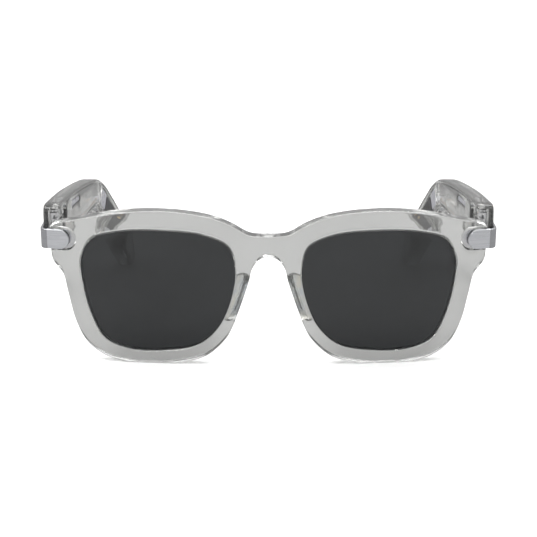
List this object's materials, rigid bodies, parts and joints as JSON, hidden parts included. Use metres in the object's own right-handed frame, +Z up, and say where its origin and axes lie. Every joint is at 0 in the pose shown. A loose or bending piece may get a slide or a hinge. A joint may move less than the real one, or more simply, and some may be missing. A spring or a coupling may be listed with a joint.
{
  "type": "smart glasses",
  "caption": "Clear-framed smart glasses with dark tinted lenses, brushed metal corner caps and hollow temples that fold on vertical hinges and hold sound parts and a battery.",
  "frame": {"origin": "centre of the footprint on the surface that the open glasses stand on, under the middle of the space between the temples", "axes": "+X to the wearer's left, -Y forward (the way the lenses face), +Z up"},
  "size_m": [0.1492, 0.149, 0.0525],
  "materials": {
    "clear_acetate": "polished clear crystal acetate",
    "tinted_lens": "neutral grey tinted polymer lens, polished",
    "clear_pad": "clear resin, slightly warm",
    "brushed_metal": "fine brushed, satin",
    "hinge_steel": "polished steel",
    "chrome": "bright polished",
    "dark_plastic": "dark grey, moulded, matte",
    "seal_rubber": "black, soft",
    "gold_plate": "gold plated",
    "flex_film": "amber polyimide film",
    "board_laminate": "green laminate with solder mask",
    "silver_shield": "satin, slightly lavender",
    "battery_foil": "pouch foil, satin"
  },
  "bodies": {
    "front": {"front_rim": "clear_acetate", "lens_left": "tinted_lens", "lens_right": "tinted_lens", "nose_pad_left": "clear_pad", "nose_pad_right": "clear_pad", "corner_cap_left": "brushed_metal", "corner_cap_right": "brushed_metal", "cap_screw_left": "chrome", "cap_screw_right": "chrome", "hinge_bracket_left": "hinge_steel", "hinge_bracket_right": "hinge_steel", "hinge_pin_left": "chrome", "hinge_pin_right": "chrome"},
    "left_temple": {"temple_shell_left": "clear_acetate", "arm_cover_left": "clear_acetate", "tip_cover_left": "clear_acetate", "hinge_leaf_left": "hinge_steel", "leaf_screw_left": "chrome", "speaker_chamber_left": "clear_acetate", "speaker_driver_left": "clear_acetate", "speaker_mesh_left": "silver_shield", "microphone_left": "silver_shield", "flex_cable_left": "flex_film", "amplifier_board_left": "board_laminate", "bend_seal_left": "seal_rubber", "connector_shield_left": "silver_shield", "tip_tray_left": "dark_plastic", "battery_left": "battery_foil", "tip_board_left": "board_laminate", "charge_contact_front_left": "gold_plate", "charge_contact_rear_left": "gold_plate"},
    "right_temple": {"temple_shell_right": "clear_acetate", "arm_cover_right": "clear_acetate", "tip_cover_right": "clear_acetate", "hinge_leaf_right": "hinge_steel", "leaf_screw_right": "chrome", "speaker_chamber_right": "clear_acetate", "speaker_driver_right": "clear_acetate", "speaker_mesh_right": "silver_shield", "microphone_right": "silver_shield", "flex_cable_right": "flex_film", "amplifier_board_right": "board_laminate", "bend_seal_right": "seal_rubber", "connector_shield_right": "silver_shield", "tip_tray_right": "dark_plastic", "battery_right": "battery_foil", "tip_board_right": "board_laminate", "charge_contact_front_right": "gold_plate", "charge_contact_rear_right": "gold_plate"}
  },
  "joints": [
    {"name": "left_temple_fold", "type": "hinge", "parent": "front", "child": "left_temple", "pos_m": [0.071, -0.05647, 0.0422], "axis": [0, 0, 1], "range_deg": [0, 84]},
    {"name": "right_temple_fold", "type": "hinge", "parent": "front", "child": "right_temple", "pos_m": [-0.071, -0.05647, 0.0422], "axis": [0, 0, -1], "range_deg": [0, 74]}
  ]
}
